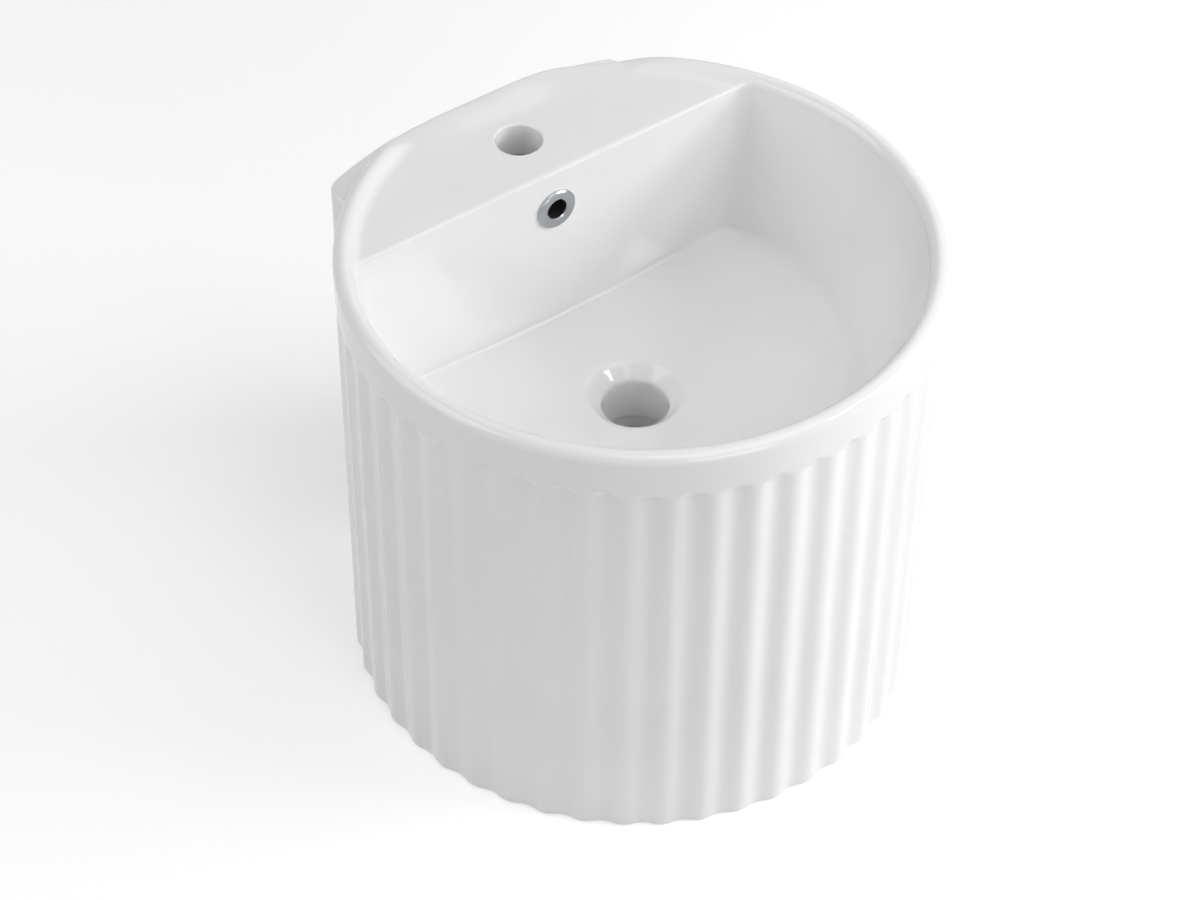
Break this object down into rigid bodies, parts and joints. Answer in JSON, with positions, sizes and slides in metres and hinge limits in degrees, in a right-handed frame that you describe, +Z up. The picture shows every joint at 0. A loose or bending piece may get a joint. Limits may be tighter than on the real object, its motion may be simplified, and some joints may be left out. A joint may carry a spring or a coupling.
{
  "type": "wall-hung washbasin",
  "caption": "Round wall-hung ceramic washbasin with fluted skirt, upright-backed bowl, tap ledge, overflow ring and wall fixing set.",
  "frame": {"origin": "on the wall face, on the centre line, midway between the axes of the two wall bolts", "axes": "+Y into the wall, +Z up, +X to the right as seen by a user who faces the wall"},
  "size_m": [0.4, 0.44, 0.35],
  "materials": {
    "glaze": "glossy white glaze",
    "chrome_trim": "mirror-bright plated plastic",
    "dark_plastic": "matt moulded",
    "zinc_steel": "bright zinc plated",
    "nylon": "natural moulded nylon",
    "soft_rubber": "matt",
    "cap_plastic": "white moulded"
  },
  "bodies": {
    "root": {"basin_body": "glaze", "overflow_trim_ring": "chrome_trim", "overflow_sleeve": "dark_plastic", "wall_bolts": "zinc_steel", "bolt_bushes": "nylon", "soft_washers": "soft_rubber", "steel_washers": "zinc_steel", "hex_nuts": "zinc_steel", "nut_caps": "cap_plastic"}
  },
  "joints": []
}
